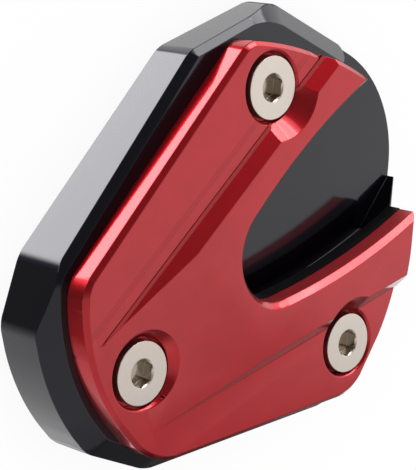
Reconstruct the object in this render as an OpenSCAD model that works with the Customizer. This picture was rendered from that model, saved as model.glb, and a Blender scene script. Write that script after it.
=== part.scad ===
/* [Base plate] */
// Thickness of the base under the contact plane, at the plan origin
base_depth = 8.16; // [7.8:0.05:11]
// Slope of the ground face along the width, in degrees
wedge_across = 3.78; // [2:0.02:5]
// Slope of the ground face along the height, in degrees
wedge_along = 1.2; // [0.4:0.05:2]
// Inward run of the bevel round the crown
crown_run = 3; // [2.4:0.1:3.2]
// Height of the bevel round the crown
crown_drop = 2.25; // [1.8:0.05:2.6]
// Depth of the foot pocket below the contact plane
pocket_depth = 3.6; // [3:0.1:3.8]
// Amount by which the pocket runs under the upper plate
pocket_under = 2.2; // [1.6:0.1:2.6]
// Radius of the corner where the pocket runs out on the right
pocket_tip_r = 1.45; // [1:0.05:1.8]

/* [Top plate] */
// Thickness of the upper plate on its two lower facets
facet_height = 4.15; // [4:0.05:4.6]
// Height of the central plateau over those facets
step_rise = 2.25; // [1.8:0.05:2.6]
// Width of the bevel on the outer edge
rim_bevel = 0.75; // [0.5:0.05:1]
// Height of that bevel over its width
rim_slope = 0.95; // [0.9:0.01:0.97]
// Width of the bevel round the slot
slot_bevel = 1; // [0.6:0.05:1.2]
// Radius of the closed end of the slot, at the top face
slot_end_r = 9.2; // [8.6:0.05:9.8]
// Slope of the ramp near the lower left screw, in degrees
ramp_slope = 6.28; // [4:0.05:8]

/* [Screws] */
// Distance between the two lower screws
lower_span = 46.6; // [45:0.1:48]
// Height of the upper screw over the lower two
upper_rise = 42.75; // [41.5:0.05:44]
// Sideways place of the upper screw
upper_shift = 0.35; // [-0.5:0.05:1]
// Diameter of the screw heads
head_d = 10; // [9.4:0.1:10.4]
// Height of the screw heads
head_h = 2.8; // [2.4:0.05:3]
// Material left under the screw heads
seat_web = 1.5; // [1.3:0.05:1.7]
// Diameter of the screw shanks
shank_d = 5.9; // [5:0.05:5.94]
// Length of the screws under the head
shank_len = 8; // [6:0.1:8.2]
// Width over the flats of the socket
socket_af = 4; // [3:0.1:4.2]
// Depth of the socket
socket_depth = 1.9; // [1.4:0.05:2.1]

/* [Hidden] */
$fn = 96;
far = 70;
// Amount by which each corner arc stands proud of its two sides, so that they cross
proud = 0.02;

black_finish = [0.05, 0.05, 0.06];
red_finish = [0.72, 0.07, 0.1];
steel_finish = [0.8, 0.78, 0.75];

lower_left = [-lower_span / 2, 0];
lower_right = [lower_span / 2, 0];
upper = [upper_shift, upper_rise];
centres = [upper, lower_left, lower_right];

head_r = head_d / 2;
counterbore_r = head_r + 0.6;
clear_r = 3.3;
tapped_r = 3;
head_top = seat_web + head_h;
relief_start = head_top - 0.52;
plateau_height = facet_height + step_rise;

// Centres of the arcs that bound both plates and the slot
slot_centre = [3.35, 17.04];
slot_upper_centre = [80.8, -46.5];
slot_lower_centre = [-22.35, 119.65];
left_arc_centre = [-3.5, 13.8];
right_arc_centre = [-0.2, 16.7];
top_arc_centre = [-4.4, -10.65];

function polar(r, a) = [r * cos(a), r * sin(a)];
function unit(v) = v / norm(v);
function angle_of(v) = atan2(v[1], v[0]);

// Crossing of two lines, each given as [outward angle, offset from the origin]
function crossing(p, q) = [
    (p[1] * sin(q[0]) - q[1] * sin(p[0])) / sin(q[0] - p[0]),
    (q[1] * cos(p[0]) - p[1] * cos(q[0])) / sin(q[0] - p[0])
];

// Offset of the line with outward angle a that touches a circle
function tangent(c, r, a) = c[0] * cos(a) + c[1] * sin(a) + r;

// Corners of a ring of lines [angle, offset]
function ring_points(lines) = [
    for (i = [0:len(lines) - 1]) crossing(lines[i], lines[(i + 1) % len(lines)])
];

// Tangent points and centre of a corner arc at q, between p and s
function corner_arc(p, q, s, r) =
    let (u = unit(p - q), w = unit(s - q), half = acos(u * w) / 2)
    [q + u * r / tan(half), q + unit(u + w) * r / sin(half), q + w * r / tan(half)];

function ring_arc(pts, i, r) =
    corner_arc(pts[(i + len(pts) - 1) % len(pts)], pts[i], pts[(i + 1) % len(pts)], r);

// Outer walls of the base: outward angle and offset of each side, then the corner radii
left_wall_r = 36.3;
crown_left_r = left_wall_r - 0.2;
right_wall_r = 39.7;
left_facet = [166.5, 39.45];
lower_side = [277.75, 15.6];
upper_right_side = [68.95, 53.88];
lower_left_angle = (224 + lower_side[0]) / 2;
lower_right_angle = lower_side[0] + 0.62 * (360 - lower_side[0]);
base_lines = [
    [143.1, 39.23],
    left_facet,
    [197, tangent(left_arc_centre, left_wall_r, 197)],
    [224, tangent(left_arc_centre, left_wall_r, 224)],
    [lower_left_angle, 21.8],
    lower_side,
    [lower_right_angle, tangent(right_arc_centre, right_wall_r, lower_right_angle)],
    [360, 39.5],
    upper_right_side + [360, 0],
    [473.83, 49.08]
];
base_radii = [8, 6, left_wall_r, 7, 9, 12, right_wall_r, 20.6, 5.5, 5.5];

// Sides of the bevelled crown, partly trimmed by the walls above
crown_lines = [
    [143.1, 40.86],
    [184, tangent(left_arc_centre, crown_left_r, 184)],
    [224, tangent(left_arc_centre, crown_left_r, 224)],
    [lower_left_angle, 21.8],
    lower_side,
    [lower_right_angle, tangent(right_arc_centre, right_wall_r, lower_right_angle)],
    [360, 39.5],
    upper_right_side + [360, 0],
    [473.83, 50.84]
];
crown_radii = [8, crown_left_r, 9, 9, 12, right_wall_r, 12, 15, 6.5];

// Sides of the upper plate
top_left_r = 32.3;
top_right_r = 36;
top_arc_r = 60.6;
top_lines = [
    [139.9, 36.1],
    [184, tangent(left_arc_centre, top_left_r - 0.35, 184)],
    [226, tangent(left_arc_centre, top_left_r - 0.35, 226)],
    [277.9, 12.47],
    [329, tangent(right_arc_centre, top_right_r, 329)],
    [360, 36.05],
    [450, top_arc_centre[1] + top_arc_r + 0.13]
];
top_radii = [6, top_left_r - 0.35, 12, 8.2, top_right_r, 4, 5.5];

// Prism of a ring of lines with rounded corners
module ring_prism(lines, radii, z0, z1) {
    pts = ring_points(lines);
    difference() {
        translate([0, 0, z0])
            linear_extrude(z1 - z0)
                polygon(pts);
        for (i = [0:len(lines) - 1])
            corner_cutter(ring_arc(pts, i, radii[i]), pts[i], radii[i], z0 - 1, z1 + 1);
    }
}

// Everything outside the arc in one corner
module corner_cutter(arc, tip, r, z0, z1) {
    out = tip + unit(tip - arc[1]) * 2;
    difference() {
        translate([0, 0, z0])
            linear_extrude(z1 - z0)
                polygon([arc[0], out, arc[2], arc[1]]);
        translate([arc[1][0], arc[1][1], z0 - 1])
            cylinder(r = r + proud, h = z1 - z0 + 2, $fn = 180);
    }
}

// Same prism widened by g, with its upper edge bevelled back by run + g
module bevelled_prism(lines, radii, g, z0, top, run, drop) {
    pts = ring_points([for (l = lines) [l[0], l[1] + g]]);
    run_g = run + g;
    drop_g = run_g * drop / run;
    difference() {
        translate([0, 0, z0])
            linear_extrude(top - z0)
                polygon(pts);
        for (i = [0:len(lines) - 1])
            edge_cutter(pts[i], pts[(i + 1) % len(pts)], top, run_g, drop_g);
        for (i = [0:len(lines) - 1])
            bevel_cutter(ring_arc(pts, i, radii[i] + g), pts[i], radii[i] + g, g, z0 - 1, top, run_g, drop_g);
    }
}

// Wedge above the bevel of one straight edge from p to q
module edge_cutter(p, q, top, run, drop) {
    k = drop / run;
    reach = norm(q - p) + 20;
    translate([p[0], p[1], 0])
        rotate([0, 0, angle_of(q - p)])
            translate([-10, 0, 0])
                rotate([90, 0, 90])
                    linear_extrude(reach)
                        polygon([
                            [-3, top - drop - 3 * k],
                            [run + 1, top + k],
                            [run + 1, top + 4],
                            [-3, top + 4]
                        ]);
}

// Everything outside the bevelled arc in one corner
module bevel_cutter(arc, tip, r, g, z0, top, run, drop) {
    out = tip + unit(tip - arc[1]) * 2;
    difference() {
        translate([0, 0, z0])
            linear_extrude(top + 1 - z0)
                polygon([arc[0], out, arc[2], arc[1]]);
        translate([arc[1][0], arc[1][1], 0])
            bevelled_disc(r + proud * (1 + 4 * g), z0 - 1, top, run, drop);
    }
}

// Solid disc with a bevelled upper edge, open beyond its top
module bevelled_disc(r, z0, top, run, drop) {
    over = min(2, (r - run) * drop / run * 0.9);
    rotate_extrude($fn = 180)
        polygon([
            [0, z0],
            [r, z0],
            [r, top - drop],
            [r - run - over * run / drop, top + over],
            [0, top + over]
        ]);
}

// Sector that opens from the slot centre to the right
module slot_window(z0, z1) {
    up = angle_of(slot_centre - slot_upper_centre);
    down = angle_of(slot_centre - slot_lower_centre);
    translate([0, 0, z0])
        linear_extrude(z1 - z0)
            polygon([
                slot_centre,
                slot_centre + polar(18, down),
                [far, slot_centre[1] - 26],
                [far, far + 10],
                [slot_centre[0] + 10, far + 10],
                slot_centre + polar(18, up)
            ]);
}

// Lens between the two long arcs and the closed end, grown by the amount g
module slot_solid(g, z0, z1) {
    slot_lobe(slot_centre, slot_end_r + g, z0, z1);
    intersection() {
        slot_window(z0, z1);
        slot_lobe(slot_upper_centre, slot_reach(slot_upper_centre) + g, z0 - 1, z1 + 1);
        slot_lobe(slot_lower_centre, slot_reach(slot_lower_centre) + g, z0 - 1, z1 + 1);
    }
}

function slot_reach(c) = norm(slot_centre - c) + slot_end_r - 0.03;

// Point where a line [outward angle, offset], followed clockwise, enters the circle round c
function entry_point(line, c, r) =
    let (
        foot = polar(line[1], line[0]),
        w = polar(1, line[0] - 90),
        b = (foot - c) * w,
        k = (foot - c) * (foot - c) - r * r
    )
    foot + w * (-b - sqrt(b * b - k));

// Corner between the upper right side and the upper arc of the pocket
pocket_upper_r = slot_reach(slot_upper_centre) + 0.8;
pocket_lower_r = slot_reach(slot_lower_centre) - slot_bevel + pocket_under;
pocket_tip = entry_point(upper_right_side, slot_upper_centre, pocket_upper_r);
tip_side = pocket_tip - polar(6, upper_right_side[0] - 90);
tip_along = slot_upper_centre
    + polar(pocket_upper_r, angle_of(pocket_tip - slot_upper_centre) + 3 * 180 / PI / pocket_upper_r);
tip_arc = corner_arc(tip_side, pocket_tip, tip_along, pocket_tip_r);

module slot_lobe(c, r, z0, z1) {
    translate([c[0], c[1], z0])
        cylinder(r = r, h = z1 - z0, $fn = 240);
}

// Widening cut that bevels the slot at the plateau
module slot_flare() {
    z0 = plateau_height - slot_bevel;
    slot_cone(slot_centre, slot_end_r - slot_bevel, z0);
    intersection() {
        slot_window(z0, plateau_height + 1);
        slot_cone(slot_upper_centre, slot_reach(slot_upper_centre) - slot_bevel, z0);
        slot_cone(slot_lower_centre, slot_reach(slot_lower_centre) - slot_bevel, z0);
    }
}

module slot_cone(c, r, z0) {
    h = slot_bevel + 1;
    translate([c[0], c[1], z0])
        cylinder(r1 = r, r2 = r + h, h = h, $fn = 240);
}

// Raised side of a step: a is the outward angle, d the offset of the foot of its slope
module raised_side(a, d) {
    raised_prism(a, d, [
        [0.1, facet_height - 0.1],
        [-step_rise - 1, plateau_height + 1],
        [-2 * far, plateau_height + 1]
    ]);
}

// Side under the ramp that falls towards the lower left screw
module ramp_side() {
    raised_prism(221.2, 20.46, [
        [0.9, facet_height - 0.9 * tan(ramp_slope)],
        [-2 * far, facet_height + 2 * far * tan(ramp_slope)]
    ]);
}

module raised_prism(a, d, slope) {
    rotate([0, 0, a])
        translate([d, far, 0])
            rotate([90, 0, 0])
                linear_extrude(2 * far)
                    polygon(concat([[-2 * far, -2], [slope[0][0], -2]], slope));
}

// Upper plate blank with a bevelled edge at height z; g widens it under the same bevel
module top_blank(z, z0, g) {
    drop = rim_bevel * rim_slope;
    intersection() {
        bevelled_prism(top_lines, top_radii, g, z0, z, rim_bevel, drop);
        translate([top_arc_centre[0], top_arc_centre[1], 0])
            bevelled_disc(top_arc_r + g, z0 - 1, z, rim_bevel + g, (rim_bevel + g) * rim_slope);
    }
}

// Seat, head clearance and conical relief of one screw
module screw_opening(c) {
    translate([c[0], c[1], -1])
        cylinder(r = clear_r, h = 12);
    translate([c[0], c[1], seat_web])
        cylinder(r = counterbore_r, h = 12);
    translate([c[0], c[1], relief_start])
        cylinder(r1 = counterbore_r, r2 = counterbore_r + 5, h = 5);
}

module top_plate_body() {
    difference() {
        intersection() {
            top_blank(plateau_height, 0, 0);
            union() {
                top_blank(facet_height, -1, 0.4);
                intersection() {
                    raised_side(135, 26.02);
                    raised_side(288.43, 2.69);
                    ramp_side();
                }
            }
        }
        slot_solid(-slot_bevel, -1, plateau_height + 1);
        slot_flare();
        for (c = centres)
            screw_opening(c);
    }
}

// Pocket for the foot, cut down from the contact plane and out over the round lobe
module foot_pocket() {
    intersection() {
        union() {
            slot_lobe(slot_centre, slot_end_r - slot_bevel + pocket_under, -pocket_depth, 2);
            intersection() {
                slot_window(-pocket_depth, 2);
                slot_lobe(slot_upper_centre, pocket_upper_r, -pocket_depth - 1, 3);
                slot_lobe(slot_lower_centre, pocket_lower_r, -pocket_depth - 1, 3);
            }
            corner_cutter(tip_arc, pocket_tip, pocket_tip_r, -pocket_depth, 2);
        }
        rotate([0, 0, 54.3])
            translate([-10, -16.58, -20])
                cube([2 * far, far, 40]);
    }
}

module base_plate_body() {
    difference() {
        intersection() {
            ring_prism(base_lines, base_radii, -16, 0);
            bevelled_prism(crown_lines, crown_radii, 0.5, -17, 0, crown_run, crown_drop);
        }
        foot_pocket();
        for (c = centres)
            translate([c[0], c[1], -20])
                cylinder(r = tapped_r, h = 30);
    }
}

// One screw with its head seated in the upper plate
module screw_body(c, turn) {
    difference() {
        translate([c[0], c[1], 0])
            rotate_extrude()
                polygon([
                    [0, seat_web - shank_len],
                    [shank_d / 2 - 0.6, seat_web - shank_len],
                    [shank_d / 2, seat_web - shank_len + 0.6],
                    [shank_d / 2, seat_web],
                    [head_r, seat_web],
                    [head_r, head_top],
                    [0, head_top]
                ]);
        translate([c[0], c[1], head_top - socket_depth])
            rotate([0, 0, turn])
                cylinder(r = socket_af / sqrt(3), h = socket_depth + 1, $fn = 6);
        translate([c[0], c[1], head_top - 0.35])
            cylinder(r1 = socket_af / sqrt(3) - 0.35, r2 = socket_af / sqrt(3) + 0.35, h = 0.7);
    }
}

// Plate frame: the contact plane, tilted so that the ground face lies level
module on_ground() {
    translate([0, 0, base_depth * cos(wedge_across) * cos(wedge_along)])
        rotate([-wedge_along, wedge_across, 0])
            children();
}

module base_plate() {
    color(black_finish)
        difference() {
            on_ground()
                base_plate_body();
            translate([-far, -far, -30])
                cube([2 * far, 3 * far, 30]);
        }
}

module top_plate() {
    color(red_finish)
        on_ground()
            top_plate_body();
}

module screw_upper() {
    color(steel_finish)
        on_ground()
            screw_body(upper, 30);
}

module screw_lower_left() {
    color(steel_finish)
        on_ground()
            screw_body(lower_left, 27);
}

module screw_lower_right() {
    color(steel_finish)
        on_ground()
            screw_body(lower_right, 33);
}

base_plate();
top_plate();
screw_upper();
screw_lower_left();
screw_lower_right();
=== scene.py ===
"""Looks of a side stand foot enlarger: two anodised plates clamped by three socket screws."""

from __future__ import annotations

import logging
import math
from dataclasses import dataclass, field
from enum import Enum, IntEnum

import bmesh
import bpy
from mathutils import Matrix, Vector

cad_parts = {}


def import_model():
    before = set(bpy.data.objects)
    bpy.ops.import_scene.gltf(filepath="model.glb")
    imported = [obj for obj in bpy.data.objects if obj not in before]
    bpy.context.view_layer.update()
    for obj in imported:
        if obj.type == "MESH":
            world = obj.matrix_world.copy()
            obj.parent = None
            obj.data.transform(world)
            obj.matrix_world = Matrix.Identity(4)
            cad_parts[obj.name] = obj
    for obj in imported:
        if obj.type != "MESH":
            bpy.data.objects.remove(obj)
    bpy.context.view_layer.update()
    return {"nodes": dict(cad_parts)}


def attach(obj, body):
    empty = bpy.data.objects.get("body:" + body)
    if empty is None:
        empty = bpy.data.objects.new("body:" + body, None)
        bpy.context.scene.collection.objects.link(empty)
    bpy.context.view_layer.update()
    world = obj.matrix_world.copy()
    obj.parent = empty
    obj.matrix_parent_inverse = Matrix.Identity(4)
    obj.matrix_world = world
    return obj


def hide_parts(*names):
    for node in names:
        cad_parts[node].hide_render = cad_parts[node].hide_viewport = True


LOG = logging.getLogger("scene")
MM = 0.001
WHITE = (1.0, 1.0, 1.0, 1.0)
UPWARDS = Vector((0.0, 0.0, 1.0))

# Corners closer than this are joined, in metres, and cuts keep to this, in millimetres.
MERGE_DISTANCE = 2e-6
CUT_TOLERANCE = 1e-5
SAME_PLANE_ANGLE = math.radians(0.3)

# The clear film, and the clouds in the dye: scale and detail of the noise, ends of its ramp.
COAT_IOR = 1.5
FILM_IOR = 1.7
CLOUD_SCALE = 220.0
CLOUD_DETAIL = 3.0
CLOUD_RANGE = (0.3, 0.7)

# Place of the painted shade sheet's finish among the base's, and of the socket's painted shade among a
# screw's.
SECOND_FINISH = 1


class Slot(Enum):
    """Material slots of the record."""

    BASE = "base"
    TOP = "top"
    SCREWS = "screws"


class TopFace(IntEnum):
    """Finishes of the red plate's faces, in the order of its materials."""

    PLAIN = 0
    # Painted shade: the dark line at the foot of the long step.
    LINE = 1
    SHELF = 2
    # Painted light: a lighter red on the slot's lower wall.
    SLOT_WALL_PAINTED_LIGHT = 3
    # Painted reflection of the step on the flat, and its darker edges.
    BAND = 4
    BAND_LINE = 5


@dataclass(frozen=True)
class PlateFrame:
    """Frame of the contact plane between the two plates, in the ground frame.

    Attributes:
        across: Its turn about Y, in radians.
        along: Its turn about X, in radians.
        depth: Thickness of the base at the origin, in millimetres.
    """

    across: float = math.radians(3.78)
    along: float = math.radians(-1.2)
    depth: float = 8.16

    def matrix(self) -> Matrix:
        """Works out the plate frame.

        Returns:
            Matrix that takes a point in plate millimetres to the ground frame, in metres.
        """
        rise = self.depth * math.cos(self.across) * math.cos(self.along)
        turn = Matrix.Rotation(self.across, 4, "Y") @ Matrix.Rotation(self.along, 4, "X")
        return Matrix.Scale(MM, 4) @ Matrix.Translation((0.0, 0.0, rise)) @ turn


PLATE = PlateFrame().matrix()
SCREW_CENTRES = {"upper": (0.35, 42.75), "lower_left": (-23.3, 0.0), "lower_right": (23.3, 0.0)}


@dataclass(frozen=True)
class Grain:
    """Fine grain of a surface.

    Attributes:
        scale: Scale of its noise.
        detail: Detail of its noise.
        least: Least roughness, as a share of the finish's.
        most: Most roughness, as a share of the finish's.
        bump: Strength of its bump.
        height: Height of its bump, in metres.
    """

    scale: float
    detail: float
    least: float
    most: float
    bump: float
    height: float


@dataclass(frozen=True)
class Anodised:
    """Dyed anodic finish on aluminium.

    Attributes:
        name: Name of the material.
        color: Linear colour of the dye.
        metallic: Share of tinted mirror reflection.
        roughness: Roughness of the metal under the film.
        coat: Weight of the clear outer film.
        coat_roughness: Roughness of that film.
        mottle: Strength of the uneven dye.
    """

    name: str
    color: tuple[float, float, float]
    metallic: float
    roughness: float
    coat: float
    coat_roughness: float
    mottle: float


@dataclass(frozen=True)
class Steel:
    """Plain stainless finish.

    Attributes:
        name: Name of the material.
        color: Linear colour.
        roughness: Roughness of the surface.
    """

    name: str
    color: tuple[float, float, float]
    roughness: float


FILM_GRAIN = Grain(3000.0, 2.0, 0.85, 1.15, 0.03, 0.00002)
STEEL_GRAIN = Grain(2500.0, 3.0, 0.8, 1.25, 0.08, 0.00003)
BLACK = Anodised("black_anodised", (0.006, 0.0055, 0.0125), 1.0, 0.4, 1.0, 0.1, 0.1)
# Painted shade: a darker, less glossy black for the thin sheet that darkens the slot's lower wall.
SHADE_SHEET = Anodised("shaded_black", (0.0015, 0.0014, 0.0025), 1.0, 0.4, 0.12, 0.2, 0.05)
RED = Anodised("red_anodised", (0.54, 0.006, 0.014), 1.0, 0.35, 1.0, 0.09, 0.05)
# Painted shade: a near-black red for the inner corner at the foot of the long step.
CREASE_PAINTED_SHADE = Anodised("painted_crease_shade", (0.05, 0.001, 0.002), 1.0, 0.6, 0.05, 0.3, 0.05)
SHELF = Anodised("shelf", (0.54, 0.006, 0.013), 1.0, 0.4, 0.7, 0.1, 0.05)
# Painted light: a lighter, less metallic red for the slot's lower wall, so that it looks lit.
SLOT_WALL_PAINTED_LIGHT = Anodised("slot_wall_painted_light", (0.57, 0.006, 0.014), 0.4, 0.4, 0.3, 0.1, 0.05)
# Painted reflection of the step: slightly darker reds for a band on the flat and for its edges.
PAINTED_STEP_REFLECTION = Anodised("painted_step_reflection", (0.5, 0.0055, 0.013), 1.0, 0.36, 0.93, 0.1, 0.05)
PAINTED_STEP_REFLECTION_EDGE = Anodised("painted_step_reflection_edge", (0.44, 0.005, 0.0115), 1.0, 0.38, 0.8, 0.12, 0.05)
STAINLESS = Steel("stainless", (0.79, 0.705, 0.63), 0.3)
# Painted shade: a darker steel for the inside of the socket.
SOCKET_PAINTED_SHADE = Steel("socket_painted_shade", (0.48, 0.41, 0.34), 0.16)


class MaterialMaker:
    """Makes the procedural materials of the part."""

    def _start(self, name: str, metallic: float) -> tuple[bpy.types.Material, bpy.types.Node]:
        """Starts a material.

        Args:
            name: Name of the material.
            metallic: Share of tinted mirror reflection.

        Returns:
            The material and its shader.
        """
        mat = bpy.data.materials.new(name)
        mat.use_nodes = True
        shader = mat.node_tree.nodes["Principled BSDF"]
        shader.inputs["Metallic"].default_value = metallic
        return mat, shader

    def _noise(self, tree: bpy.types.NodeTree, scale: float, detail: float) -> bpy.types.NodeSocket:
        """Adds a noise on the piece's own coordinates.

        Args:
            tree: Node tree of the material.
            scale: Scale of the noise.
            detail: Detail of the noise.

        Returns:
            Socket with the noise.
        """
        coord = tree.nodes.new("ShaderNodeTexCoord")
        tex = tree.nodes.new("ShaderNodeTexNoise")
        tex.inputs["Scale"].default_value = scale
        tex.inputs["Detail"].default_value = detail
        tree.links.new(coord.outputs["Object"], tex.inputs["Vector"])
        return tex.outputs["Fac"]

    def _add_grain(
        self, tree: bpy.types.NodeTree, shader: bpy.types.Node, roughness: float, grain: Grain
    ) -> None:
        """Adds the fine grain to a shader's roughness and bump.

        Args:
            tree: Node tree of the material.
            shader: The shader.
            roughness: Middle roughness of the finish.
            grain: The grain.
        """
        noise = self._noise(tree, grain.scale, grain.detail)
        spread = tree.nodes.new("ShaderNodeMapRange")
        spread.inputs["To Min"].default_value = roughness * grain.least
        spread.inputs["To Max"].default_value = roughness * grain.most
        tree.links.new(noise, spread.inputs["Value"])
        tree.links.new(spread.outputs["Result"], shader.inputs["Roughness"])
        bump = tree.nodes.new("ShaderNodeBump")
        bump.inputs["Strength"].default_value = grain.bump
        bump.inputs["Distance"].default_value = grain.height
        tree.links.new(noise, bump.inputs["Height"])
        tree.links.new(bump.outputs["Normal"], shader.inputs["Normal"])

    def anodised(self, finish: Anodised) -> bpy.types.Material:
        """Makes a dyed anodic finish.

        Args:
            finish: Colour and gloss of the finish.

        Returns:
            The new material.
        """
        mat, shader = self._start(finish.name, finish.metallic)
        tree = mat.node_tree
        shader.inputs["Coat Weight"].default_value = finish.coat
        shader.inputs["Coat Roughness"].default_value = finish.coat_roughness
        shader.inputs["Coat IOR"].default_value = COAT_IOR
        shader.inputs["IOR"].default_value = FILM_IOR
        ramp = tree.nodes.new("ShaderNodeValToRGB")
        shares = (1.0 - finish.mottle, 1.0 + finish.mottle)
        for element, place, share in zip(ramp.color_ramp.elements, CLOUD_RANGE, shares):
            element.position = place
            element.color = (*[c * share for c in finish.color], 1.0)
        cloud = self._noise(tree, CLOUD_SCALE, CLOUD_DETAIL)
        tree.links.new(cloud, ramp.inputs["Fac"])
        tree.links.new(ramp.outputs["Color"], shader.inputs["Base Color"])
        self._add_grain(tree, shader, finish.roughness, FILM_GRAIN)
        return mat

    def steel(self, finish: Steel) -> bpy.types.Material:
        """Makes the finish of the screws.

        Args:
            finish: Colour and gloss of the steel.

        Returns:
            The new material.
        """
        mat, shader = self._start(finish.name, metallic=1.0)
        shader.inputs["Base Color"].default_value = (*finish.color, 1.0)
        self._add_grain(mat.node_tree, shader, finish.roughness, STEEL_GRAIN)
        return mat


def merged_copy(source: bpy.types.Object) -> bmesh.types.BMesh:
    """Copies a node's mesh and joins its loose triangles.

    Args:
        source: The node's object.

    Returns:
        The copy, in millimetres in the plate frame.
    """
    bm = bmesh.new()
    bm.from_mesh(source.data)
    bmesh.ops.remove_doubles(bm, verts=bm.verts, dist=MERGE_DISTANCE)
    bm.transform(PLATE.inverted())
    return bm


def add_piece(
    name: str, bm: bmesh.types.BMesh, materials: list[bpy.types.Material], slot: Slot, node: str
) -> bpy.types.Object:
    """Turns a mesh into a piece that stands for a CAD node.

    Args:
        name: Name of the piece.
        bm: Its mesh, in metres in the ground frame; it is freed.
        materials: Its finishes, the main one first.
        slot: Slot of the record that the finish belongs to; not used.
        node: CAD node that it stands for.

    Returns:
        The new object.
    """
    mesh = bpy.data.meshes.new(name)
    bm.to_mesh(mesh)
    bm.free()
    for material in materials:
        mesh.materials.append(material)
    piece = bpy.data.objects.new(name, mesh)
    bpy.context.scene.collection.objects.link(piece)
    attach(piece, "root")
    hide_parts(node)
    LOG.info("%s stands for %s", name, node)
    return piece


@dataclass
class MachinedPiece:
    """Piece whose machined edges are broken by a narrow bevel.

    Attributes:
        node: CAD node that it refines.
        name: Name of the piece.
        slot: Slot of the record.
        edge: Width of the broken edges, in millimetres.
        min_angle: Least turn of an edge that is broken, in degrees.
        edge_steps: Number of faces across a broken edge.
        even_weight: Weight of the large faces in the smoothed normals.
    """

    node: str
    name: str
    slot: Slot
    edge: float = 0.1
    min_angle: float = 24.0
    edge_steps: int = 2
    even_weight: int = 80

    def mark(self, bm: bmesh.types.BMesh) -> None:
        """Cuts and marks the faces that another finish covers, before the edges are broken.

        Args:
            bm: The mesh, in millimetres in the plate frame.
        """

    def refine(self, bm: bmesh.types.BMesh) -> None:
        """Adds what the piece has beside its node's form, after the edges are broken.

        Args:
            bm: The mesh, in millimetres in the plate frame.
        """

    def shade(self, piece: bpy.types.Object) -> None:
        """Corrects the shading of the finished piece.

        Args:
            piece: The finished piece.
        """

    def _is_sharp(self, edge: bmesh.types.BMEdge) -> bool:
        """Returns whether an edge turns enough to be broken."""
        return len(edge.link_faces) == 2 and edge.calc_face_angle(0.0) > math.radians(self.min_angle)

    def build(self, source: bpy.types.Object, materials: list[bpy.types.Material]) -> bpy.types.Object:
        """Builds the piece from its node.

        Args:
            source: The node's object.
            materials: Finish of the piece, then those of its marked faces.

        Returns:
            The finished piece.
        """
        bm = merged_copy(source)
        bmesh.ops.dissolve_limit(bm, angle_limit=SAME_PLANE_ANGLE, verts=bm.verts, edges=bm.edges)
        bm.normal_update()
        self.mark(bm)
        bmesh.ops.bevel(
            bm,
            geom=[edge for edge in bm.edges if self._is_sharp(edge)],
            offset=self.edge,
            offset_type="OFFSET",
            segments=self.edge_steps,
            profile=0.5,
            affect="EDGES",
            clamp_overlap=False,
            material=-1,
        )
        self.refine(bm)
        for face in bm.faces:
            face.smooth = True
        bm.transform(PLATE)
        bm.normal_update()
        piece = add_piece(self.name, bm, materials, self.slot, self.node)
        weigh = piece.modifiers.new("even_normals", "WEIGHTED_NORMAL")
        weigh.mode = "FACE_AREA"
        weigh.weight = self.even_weight
        weigh.keep_sharp = True
        self.shade(piece)
        return piece


@dataclass(frozen=True)
class Line:
    """Straight line on the plates, seen from above.

    Attributes:
        angle: Direction of its normal, in degrees.
        offset: Its distance from the origin along that normal, in millimetres.
    """

    angle: float
    offset: float

    def normal(self) -> Vector:
        """Returns the unit normal."""
        a = math.radians(self.angle)
        return Vector((math.cos(a), math.sin(a), 0.0))

    def distance(self, spot: Vector) -> float:
        """Returns how far a point lies beyond the line."""
        return self.normal().dot(spot) - self.offset

    def cut(self, bm: bmesh.types.BMesh, beyond: float) -> None:
        """Cuts a mesh along a parallel of the line.

        Args:
            bm: The mesh.
            beyond: Distance of the parallel from the line.
        """
        bmesh.ops.bisect_plane(
            bm,
            geom=[*bm.verts, *bm.edges, *bm.faces],
            dist=CUT_TOLERANCE,
            plane_co=self.normal() * (self.offset + beyond),
            plane_no=self.normal(),
        )


@dataclass(frozen=True)
class SlotSide:
    """Lower side of the slot, as a choice among the faces of the top plate.

    Attributes:
        most_rise: Most that the normal of an upright face rises.
        from_x: Least X of the side, in millimetres.
        reach: Most distance of its faces along their normals, in millimetres.
    """

    most_rise: float = 0.1
    from_x: float = 2.0
    reach: float = 20.0

    def holds(self, face: bmesh.types.BMFace) -> bool:
        """Tells whether a face is on this side.

        Args:
            face: A face of the top plate, in millimetres in the plate frame.

        Returns:
            True if it is.
        """
        normal = face.normal
        middle = face.calc_center_median()
        upright = abs(normal.z) < self.most_rise
        return upright and normal.y > 0.0 and middle.x > self.from_x and normal.dot(middle) < self.reach


SLOT_SIDE = SlotSide()


@dataclass(frozen=True)
class Draft:
    """Lean in the shading of the upright outer walls, as a draft would give it.

    Attributes:
        angle: Lean of most walls, in degrees.
        least_reach: Least distance of a wall along its normal, in millimetres.
        left_angle: Further lean of the walls that face left, in degrees.
        left: Direction of those walls.
        left_focus: Power that narrows them down.
        upright_y: Y of the normal at which a wall has none of the common lean.
        fade_y: Rise of that Y over which the whole of it comes in.
        least_share: Share of it that walls of a lower Y stop at; below zero they lean forward.
    """

    angle: float = 7.0
    least_reach: float = 20.0
    left_angle: float = 17.0
    left: tuple[float, float, float] = (-1.0, -0.03, 0.0)
    left_focus: int = 8
    upright_y: float = -0.55
    fade_y: float = 0.35
    least_share: float = -0.8

    def lean(self, normal: Vector, spot: Vector) -> Vector:
        """Leans a normal back where it belongs to an outer wall.

        Args:
            normal: The normal, in the plate frame.
            spot: Its place, in plate millimetres.

        Returns:
            The leaned normal.
        """
        flat = Vector((normal.x, normal.y, 0.0))
        if flat.dot(spot) <= self.least_reach * flat.length:
            return normal
        towards = flat.normalized()
        facing = max(0.0, towards.dot(Vector(self.left))) ** self.left_focus
        share = min(1.0, max(self.least_share, (towards.y - self.upright_y) / self.fade_y))
        angle = math.radians(self.angle * share + self.left_angle * facing) * flat.length
        return (normal + Vector((0.0, 0.0, math.tan(angle)))).normalized()


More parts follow.
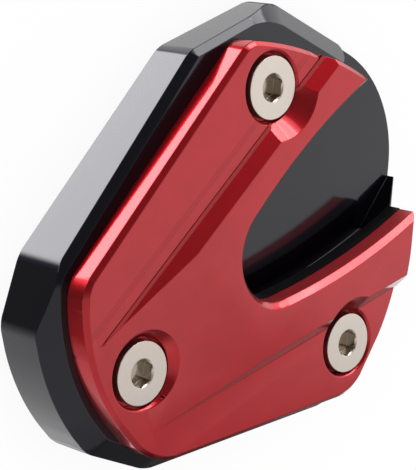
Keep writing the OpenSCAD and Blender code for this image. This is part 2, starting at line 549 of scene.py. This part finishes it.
@dataclass
class TopPlate(MachinedPiece):
    """Red plate, with a painted shade line at the foot of its long step, a narrow shelf beside it, and
    a painted reflection of the step on the flat.

    Attributes:
        foot: Foot of the long step.
        line: Width of the dark line of painted shade on the slope, in millimetres.
        shelf: Width of that painted shade line and the narrow shelf beside it, in millimetres.
        band: Distances from the foot between which the flat has a painted reflection of the step, in
            millimetres.
        band_line: Width of the darker painted line along each side of that reflection, in millimetres.
        level_rise: Least that the normal of a flat face rises.
        slope_rise: Least and most that the normal of the step's slope rises.
        slope_facing: Least that the slope faces the foot.
        draft: Lean of the outer walls' shading.
    """

    foot: Line = Line(angle=135.0, offset=26.12)
    line: float = 0.2
    shelf: float = 0.6
    band: tuple[float, float] = (1.68, 2.58)
    band_line: float = 0.12
    level_rise: float = 0.95
    slope_rise: tuple[float, float] = (0.5, 0.9)
    slope_facing: float = 0.3
    draft: Draft = Draft()

    def _finish_of(self, face: bmesh.types.BMFace) -> TopFace:
        """Chooses the finish of a face.

        Args:
            face: The face, cut at the limits of every mark.

        Returns:
            The finish.
        """
        # The slot's lower wall gets painted light, a lighter red.
        if SLOT_SIDE.holds(face):
            return TopFace.SLOT_WALL_PAINTED_LIGHT
        near, far = self.band
        beyond = self.foot.distance(face.calc_center_median())
        rise = face.normal.z
        # The band on the flat is a painted reflection of the step, with darker painted lines along its
        # sides.
        if rise > self.level_rise and near < beyond < far:
            inside = near + self.band_line < beyond < far - self.band_line
            return TopFace.BAND if inside else TopFace.BAND_LINE
        low, high = self.slope_rise
        sloped = low < rise < high and face.normal.dot(self.foot.normal()) > self.slope_facing
        if sloped and -self.shelf < beyond < 0.0:
            # The dark line at the foot of the slope is painted shade; the shelf beside it keeps a plain
            # red.
            return TopFace.LINE if beyond > -self.line else TopFace.SHELF
        return TopFace.PLAIN

    def mark(self, bm: bmesh.types.BMesh) -> None:
        """Cuts out the painted shade line and the shelf on the step's slope, and the painted reflection
        of the step on the flat beside it.

        Args:
            bm: The mesh, in millimetres in the plate frame.
        """
        near, far = self.band
        limits = (-self.line, -self.shelf, near, near + self.band_line, far - self.band_line, far)
        for beyond in limits:
            self.foot.cut(bm, beyond)
        bm.normal_update()
        for face in bm.faces:
            face.material_index = self._finish_of(face)

    def shade(self, piece: bpy.types.Object) -> None:
        """Leans the shading of the outer walls and levels that of the shelf.

        Args:
            piece: The finished piece, whose modifiers it applies.
        """
        graph = bpy.context.evaluated_depsgraph_get()
        mesh = bpy.data.meshes.new_from_object(piece.evaluated_get(graph))
        piece.modifiers.clear()
        old = piece.data
        piece.data = mesh
        bpy.data.meshes.remove(old)
        mesh.name = piece.name
        turn = PLATE.to_3x3().normalized()
        back = PLATE.inverted()
        normals = [corner.vector.copy() for corner in mesh.corner_normals]
        for face in mesh.polygons:
            for index in face.loop_indices:
                normal = turn.transposed() @ normals[index]
                spot = back @ mesh.vertices[mesh.loops[index].vertex_index].co
                level = face.material_index == TopFace.SHELF
                normals[index] = turn @ (UPWARDS if level else self.draft.lean(normal, spot))
        mesh.normals_split_custom_set(normals)


@dataclass
class BasePlate(MachinedPiece):
    """Black plate, with a thin black sheet inside the slot that paints shade on the lower part of its
    red wall.

    Attributes:
        shade_sheet_top: Height of the painted shade sheet over the contact plane, in millimetres.
        shade_sheet_wall: Thickness of that sheet, in millimetres.
        top_plate: CAD node whose slot wall the sheet lines.
    """

    shade_sheet_top: float = 2.5
    shade_sheet_wall: float = 0.12
    top_plate: bpy.types.Object | None = None

    def refine(self, bm: bmesh.types.BMesh) -> None:
        """Adds the thin black sheet along the lower side of the slot, as painted shade on its red wall.

        Args:
            bm: The mesh, in millimetres in the plate frame.
        """
        # The sheet is painted shade: a thin black lining over the lower part of the slot's red wall.
        side = merged_copy(self.top_plate)
        drop = [face for face in side.faces if not SLOT_SIDE.holds(face)]
        bmesh.ops.delete(side, geom=drop, context="FACES")
        bmesh.ops.bisect_plane(
            side,
            geom=[*side.verts, *side.edges, *side.faces],
            dist=CUT_TOLERANCE,
            plane_co=UPWARDS * self.shade_sheet_top,
            plane_no=UPWARDS,
            clear_outer=True,
        )
        side.normal_update()
        bmesh.ops.solidify(side, geom=list(side.faces), thickness=-self.shade_sheet_wall)
        for face in side.faces:
            face.material_index = SECOND_FINISH
        mesh = bpy.data.meshes.new("shade_sheet")
        side.to_mesh(mesh)
        side.free()
        bm.from_mesh(mesh)
        bpy.data.meshes.remove(mesh)


@dataclass
class SocketScrew(MachinedPiece):
    """Screw whose socket is painted darker than its head, as shade in the recess.

    Attributes:
        edge: Width of the broken edges, in millimetres.
        centre: Its place on the contact plane, in millimetres.
        head_top: Height of the head's face, in millimetres.
        rim: Depth to which the socket's mouth is left without the painted shade, in millimetres.
        socket_reach: Radius that holds the whole socket, in millimetres.
        socket_floor: Height that the socket stays above, in millimetres.
    """

    edge: float = 0.08
    centre: tuple[float, float] = (0.0, 0.0)
    head_top: float = 4.3
    rim: float = 0.4
    socket_reach: float = 2.7
    socket_floor: float = 0.5

    def mark(self, bm: bmesh.types.BMesh) -> None:
        """Paints shade on the socket's walls and floor with the darker finish.

        Args:
            bm: The mesh, in millimetres in the plate frame.
        """
        for face in bm.faces:
            spot = face.calc_center_median()
            beside = (spot.xy - Vector(self.centre)).length
            # The socket's inside gets painted shade.
            if beside < self.socket_reach and self.socket_floor < spot.z < self.head_top - self.rim:
                face.material_index = SECOND_FINISH


@dataclass(frozen=True)
class Glow:
    """Soft light or shade of the studio, as the metal mirrors it.

    Attributes:
        azimuth: Its direction along the contact plane, in degrees from +X.
        elevation: Its height over that plane, in degrees.
        inner: Angular radius of its even part, in degrees.
        outer: Angular radius at which it has faded out, in degrees.
        level: Its strength; a shade has a negative one.
    """

    azimuth: float
    elevation: float
    inner: float
    outer: float
    level: float

    def direction(self) -> Vector:
        """Works out where it is.

        Returns:
            Unit vector towards it, in the ground frame.
        """
        a = math.radians(self.azimuth)
        e = math.radians(self.elevation)
        local = Vector((math.cos(e) * math.cos(a), math.cos(e) * math.sin(a), math.sin(e)))
        return (PLATE.to_3x3() @ local).normalized()


GLOWS = (
    Glow(-2.7, 50.8, 11.6, 56.3, 0.89),
    Glow(69.5, 28.0, 7.5, 11.5, 5.5),
    Glow(54.3, 18.2, 8.1, 10.0, 4.5),
    Glow(35.8, 1.2, 6.7, 23.9, 1.33),
    Glow(122.0, -37.0, 13.7, 22.5, 6.9),
    Glow(131.0, -0.5, 10.0, 29.6, 2.7),
    Glow(-98.6, -39.0, 29.3, 53.0, 0.72),
    Glow(-127.8, 36.4, 21.2, 50.7, 0.5),
    Glow(62.2, -36.6, 12.3, 34.3, 1.1),
    Glow(-116.7, 9.2, 8.5, 27.9, 0.27),
    Glow(45.8, -16.1, 2.9, 20.8, -4.13),
    Glow(6.9, 70.6, 7.4, 21.1, -0.98),
    Glow(83.0, 31.0, 7.0, 11.5, 1.5),
    Glow(-24.0, -27.0, 4.0, 11.0, 1.0),
    Glow(-30.0, 36.7, 0.5, 14.0, -0.95),
    Glow(-57.0, -24.0, 9.0, 21.0, -1.2),
    Glow(97.0, -27.0, 5.0, 12.0, -4.5),
    Glow(-76.0, -13.0, 8.0, 20.0, -1.0),
)


def mix_shaders(
    tree: bpy.types.NodeTree,
    share: bpy.types.NodeSocket | float,
    first: bpy.types.NodeSocket,
    second: bpy.types.NodeSocket,
) -> bpy.types.NodeSocket:
    """Mixes two shaders.

    Args:
        tree: The node tree.
        share: Share of the second shader, or the socket that gives it.
        first: The first shader.
        second: The second shader.

    Returns:
        Socket with the mix.
    """
    mix = tree.nodes.new("ShaderNodeMixShader")
    if isinstance(share, float):
        mix.inputs["Fac"].default_value = share
    else:
        tree.links.new(share, mix.inputs["Fac"])
    tree.links.new(first, mix.inputs[1])
    tree.links.new(second, mix.inputs[2])
    return mix.outputs[0]


@dataclass
class Studio:
    """Camera, floor and light round the part.

    Attributes:
        location: Place of the camera, in millimetres in the plate frame.
        right: Direction to the right of the picture, in the plate frame.
        up: Direction to its top.
        lens: Focal length, in millimetres.
        sensor: Longer side of the sensor, in millimetres.
        clip: Nearest and farthest distance that the camera sees, in metres.
        plain_level: Level of the even light.
        dim_level: Level that the metal mirrors where there is no glow.
        least_level: Least level that a shade leaves.
        floor_size: Half the side of the floor, in metres.
        floor_albedo: Share of light that the floor gives back.
        floor_roughness: Roughness of the floor.
        floor_shade: Strength of the shadow on the floor, as the camera sees it.
        floor_drop: Gap between the ground face and the floor, in millimetres.
        glows: Soft lights and shades that the metal mirrors.
    """

    location: tuple[float, float, float] = (-212.0, 64.5, 203.2)
    right: tuple[float, float, float] = (0.7105, 0.0716, 0.7)
    up: tuple[float, float, float] = (0.0583, 0.9854, -0.16)
    lens: float = 143.8
    sensor: float = 36.0
    clip: tuple[float, float] = (0.01, 20.0)
    plain_level: float = 0.9
    dim_level: float = 0.14
    least_level: float = 0.03
    floor_size: float = 1.5
    floor_albedo: float = 0.9
    floor_roughness: float = 0.9
    floor_shade: float = 0.14
    floor_drop: float = 0.05
    glows: tuple[Glow, ...] = GLOWS

    def add_camera(self) -> None:
        """Adds the camera at the photograph's place."""
        cam = bpy.data.cameras.new("camera")
        cam.lens = self.lens
        cam.sensor_width = self.sensor
        cam.clip_start, cam.clip_end = self.clip
        eye = bpy.data.objects.new("camera", cam)
        bpy.context.scene.collection.objects.link(eye)
        turn = PLATE.to_3x3().normalized()
        right = (turn @ Vector(self.right)).normalized()
        up = turn @ Vector(self.up)
        up = (up - right * up.dot(right)).normalized()
        pose = Matrix((right, up, right.cross(up))).transposed().to_4x4()
        pose.translation = PLATE @ Vector(self.location)
        eye.matrix_world = pose
        bpy.context.scene.camera = eye

    def _background(
        self, tree: bpy.types.NodeTree, level: bpy.types.NodeSocket | float
    ) -> bpy.types.NodeSocket:
        """Adds a colourless background.

        Args:
            tree: Node tree of the world.
            level: Its level, or the socket that gives it.

        Returns:
            Socket with the background.
        """
        background = tree.nodes.new("ShaderNodeBackground")
        background.inputs["Color"].default_value = WHITE
        if isinstance(level, float):
            background.inputs["Strength"].default_value = level
        else:
            tree.links.new(level, background.inputs["Strength"])
        return background.outputs[0]

    def add_world(self) -> None:
        """Adds the world: white behind the part and a soft studio in its reflections."""
        world = bpy.data.worlds.new("studio")
        bpy.context.scene.world = world
        world.use_nodes = True
        tree = world.node_tree
        tree.nodes.clear()
        path = tree.nodes.new("ShaderNodeLightPath")
        seen = tree.nodes.new("ShaderNodeMath")
        seen.operation = "ADD"
        seen.use_clamp = True
        tree.links.new(path.outputs["Is Camera Ray"], seen.inputs[0])
        tree.links.new(path.outputs["Is Transmission Ray"], seen.inputs[1])
        plain = self._background(tree, self.plain_level)
        front = mix_shaders(tree, seen.outputs[0], plain, self._background(tree, 1.0))
        mirrored = self._background(tree, self._mirrored_level(tree))
        both = mix_shaders(tree, path.outputs["Is Glossy Ray"], front, mirrored)
        out = tree.nodes.new("ShaderNodeOutputWorld")
        tree.links.new(both, out.inputs["Surface"])

    def _mirrored_level(self, tree: bpy.types.NodeTree) -> bpy.types.NodeSocket:
        """Sums the soft lights that the metal mirrors.

        Args:
            tree: Node tree of the world.

        Returns:
            Socket with the level for each direction.
        """
        coord = tree.nodes.new("ShaderNodeTexCoord")
        total = tree.nodes.new("ShaderNodeValue")
        total.outputs[0].default_value = self.dim_level
        level = total.outputs[0]
        for glow in self.glows:
            dot = tree.nodes.new("ShaderNodeVectorMath")
            dot.operation = "DOT_PRODUCT"
            dot.inputs[1].default_value = glow.direction()
            tree.links.new(coord.outputs["Generated"], dot.inputs[0])
            fade = tree.nodes.new("ShaderNodeMapRange")
            fade.interpolation_type = "SMOOTHSTEP"
            fade.inputs["From Min"].default_value = math.cos(math.radians(glow.outer))
            fade.inputs["From Max"].default_value = math.cos(math.radians(glow.inner))
            fade.inputs["To Min"].default_value = 0.0
            fade.inputs["To Max"].default_value = glow.level
            tree.links.new(dot.outputs["Value"], fade.inputs["Value"])
            add = tree.nodes.new("ShaderNodeMath")
            add.operation = "ADD"
            tree.links.new(level, add.inputs[0])
            tree.links.new(fade.outputs["Result"], add.inputs[1])
            level = add.outputs[0]
        least = tree.nodes.new("ShaderNodeMath")
        least.operation = "MAXIMUM"
        least.inputs[1].default_value = self.least_level
        tree.links.new(level, least.inputs[0])
        return least.outputs[0]

    def _floor_material(self) -> bpy.types.Material:
        """Makes the pale finish of the floor, which is clear from below.

        Returns:
            The new material.
        """
        mat = bpy.data.materials.new("floor")
        mat.use_nodes = True
        tree = mat.node_tree
        matt = tree.nodes["Principled BSDF"]
        matt.inputs["Base Color"].default_value = (*[self.floor_albedo] * 3, 1.0)
        matt.inputs["Roughness"].default_value = self.floor_roughness
        matt.inputs["Specular IOR Level"].default_value = 0.0
        white = tree.nodes.new("ShaderNodeEmission")
        white.inputs["Color"].default_value = WHITE
        shade = self.floor_shade
        lit = self.floor_albedo * self.plain_level
        white.inputs["Strength"].default_value = (1.0 - lit * shade) / (1.0 - shade)
        path = tree.nodes.new("ShaderNodeLightPath")
        side = tree.nodes.new("ShaderNodeNewGeometry")
        clear = tree.nodes.new("ShaderNodeBsdfTransparent")
        seen = mix_shaders(tree, shade, white.outputs[0], matt.outputs[0])
        above = mix_shaders(tree, path.outputs["Is Camera Ray"], matt.outputs[0], seen)
        both = mix_shaders(tree, side.outputs["Backfacing"], above, clear.outputs[0])
        tree.links.new(both, tree.nodes["Material Output"].inputs["Surface"])
        return mat

    def add_floor(self) -> None:
        """Adds the pale floor, just below the ground face."""
        bm = bmesh.new()
        under = Matrix.Translation((0.0, 0.0, -self.floor_drop * MM))
        bmesh.ops.create_grid(bm, x_segments=1, y_segments=1, size=self.floor_size, matrix=under)
        mesh = bpy.data.meshes.new("floor")
        bm.to_mesh(mesh)
        bm.free()
        mesh.materials.append(self._floor_material())
        floor = bpy.data.objects.new("floor", mesh)
        floor.visible_glossy = False
        bpy.context.scene.collection.objects.link(floor)

    def build(self) -> None:
        """Adds the whole studio."""
        self.add_camera()
        self.add_world()
        self.add_floor()
        bpy.context.scene.view_settings.view_transform = "Standard"


@dataclass
class FootEnlarger:
    """The whole part.

    Attributes:
        makers: Maker of its materials.
    """

    makers: MaterialMaker = field(default_factory=MaterialMaker)

    def build(self, nodes: dict[str, bpy.types.Object]) -> None:
        """Builds every piece.

        Args:
            nodes: The CAD nodes by name.
        """
        anodised = self.makers.anodised
        top_node = nodes["top_plate"]
        base = BasePlate("base_plate", "base_body", Slot.BASE, top_plate=top_node)
        base.build(nodes["base_plate"], [anodised(finish) for finish in (BLACK, SHADE_SHEET)])
        finishes = (RED, CREASE_PAINTED_SHADE, SHELF, SLOT_WALL_PAINTED_LIGHT, PAINTED_STEP_REFLECTION, PAINTED_STEP_REFLECTION_EDGE)
        top = TopPlate("top_plate", "top_body", Slot.TOP)
        top.build(top_node, [anodised(finish) for finish in finishes])
        steels = [self.makers.steel(finish) for finish in (STAINLESS, SOCKET_PAINTED_SHADE)]
        for key, centre in SCREW_CENTRES.items():
            node = f"screw_{key}"
            screw = SocketScrew(node, f"{node}_body", Slot.SCREWS, centre=centre)
            screw.build(nodes[node], steels)


def main() -> None:
    """Builds the looks of the part."""
    logging.basicConfig(level=logging.INFO, format="%(message)s")
    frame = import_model()
    FootEnlarger().build(frame["nodes"])
    Studio().build()


if __name__ == "__main__":
    main()
